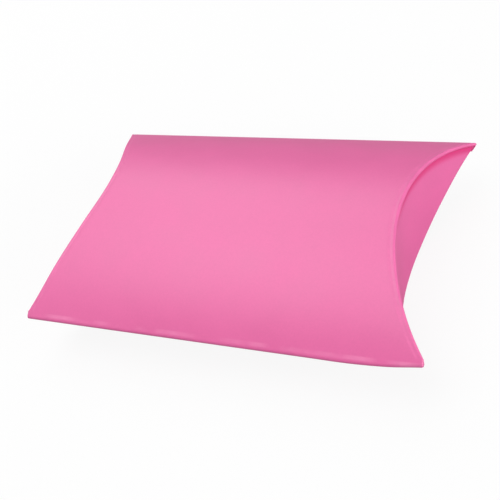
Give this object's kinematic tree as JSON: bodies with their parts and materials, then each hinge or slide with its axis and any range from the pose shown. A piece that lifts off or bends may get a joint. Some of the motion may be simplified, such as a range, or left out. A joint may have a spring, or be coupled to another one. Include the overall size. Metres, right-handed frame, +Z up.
{
  "type": "favor box",
  "caption": "Pillow-shaped favor box of glossy pink card, two bowed panels with curved creases, closed at each end by hinged lens-shaped flaps.",
  "frame": {"origin": "under the middle of the lower belly, on the surface the box rests on", "axes": "+X along the box's length, +Y across it towards the glued seam, +Z up"},
  "size_m": [0.09, 0.061, 0.0205],
  "materials": {
    "pink_card": "satin",
    "creased_card": "satin",
    "glue": "matte"
  },
  "bodies": {
    "sleeve": {"top_panel": "pink_card", "bottom_panel": "pink_card", "side_fold": "pink_card", "seam_fold": "pink_card", "glue_tab": "pink_card", "glue_line": "glue", "right_outer_score": "creased_card", "right_inner_score": "creased_card", "left_outer_score": "creased_card", "left_inner_score": "creased_card"},
    "right_outer": {"right_outer_flap": "pink_card"},
    "right_inner": {"right_inner_flap": "pink_card"},
    "left_outer": {"left_outer_flap": "pink_card"},
    "left_inner": {"left_inner_flap": "pink_card"}
  },
  "joints": [
    {"name": "right_outer_hinge", "type": "hinge", "parent": "sleeve", "child": "right_outer", "pos_m": [0.0347, 0, 0.0201], "axis": [0, -1, 0], "range_deg": [0, 45]},
    {"name": "right_inner_hinge", "type": "hinge", "parent": "sleeve", "child": "right_inner", "pos_m": [0.0341, 0, 0.0004], "axis": [0, 1, 0], "range_deg": [0, 13.5]},
    {"name": "left_outer_hinge", "type": "hinge", "parent": "sleeve", "child": "left_outer", "pos_m": [-0.0347, 0, 0.0201], "axis": [0, 1, 0], "range_deg": [0, 45]},
    {"name": "left_inner_hinge", "type": "hinge", "parent": "sleeve", "child": "left_inner", "pos_m": [-0.0341, 0, 0.0004], "axis": [0, -1, 0], "range_deg": [0, 13.5]}
  ],
  "couplings": [
    {"joint": "right_inner_hinge", "follows": "right_outer_hinge", "ratio": 0.3},
    {"joint": "left_inner_hinge", "follows": "left_outer_hinge", "ratio": 0.3}
  ]
}
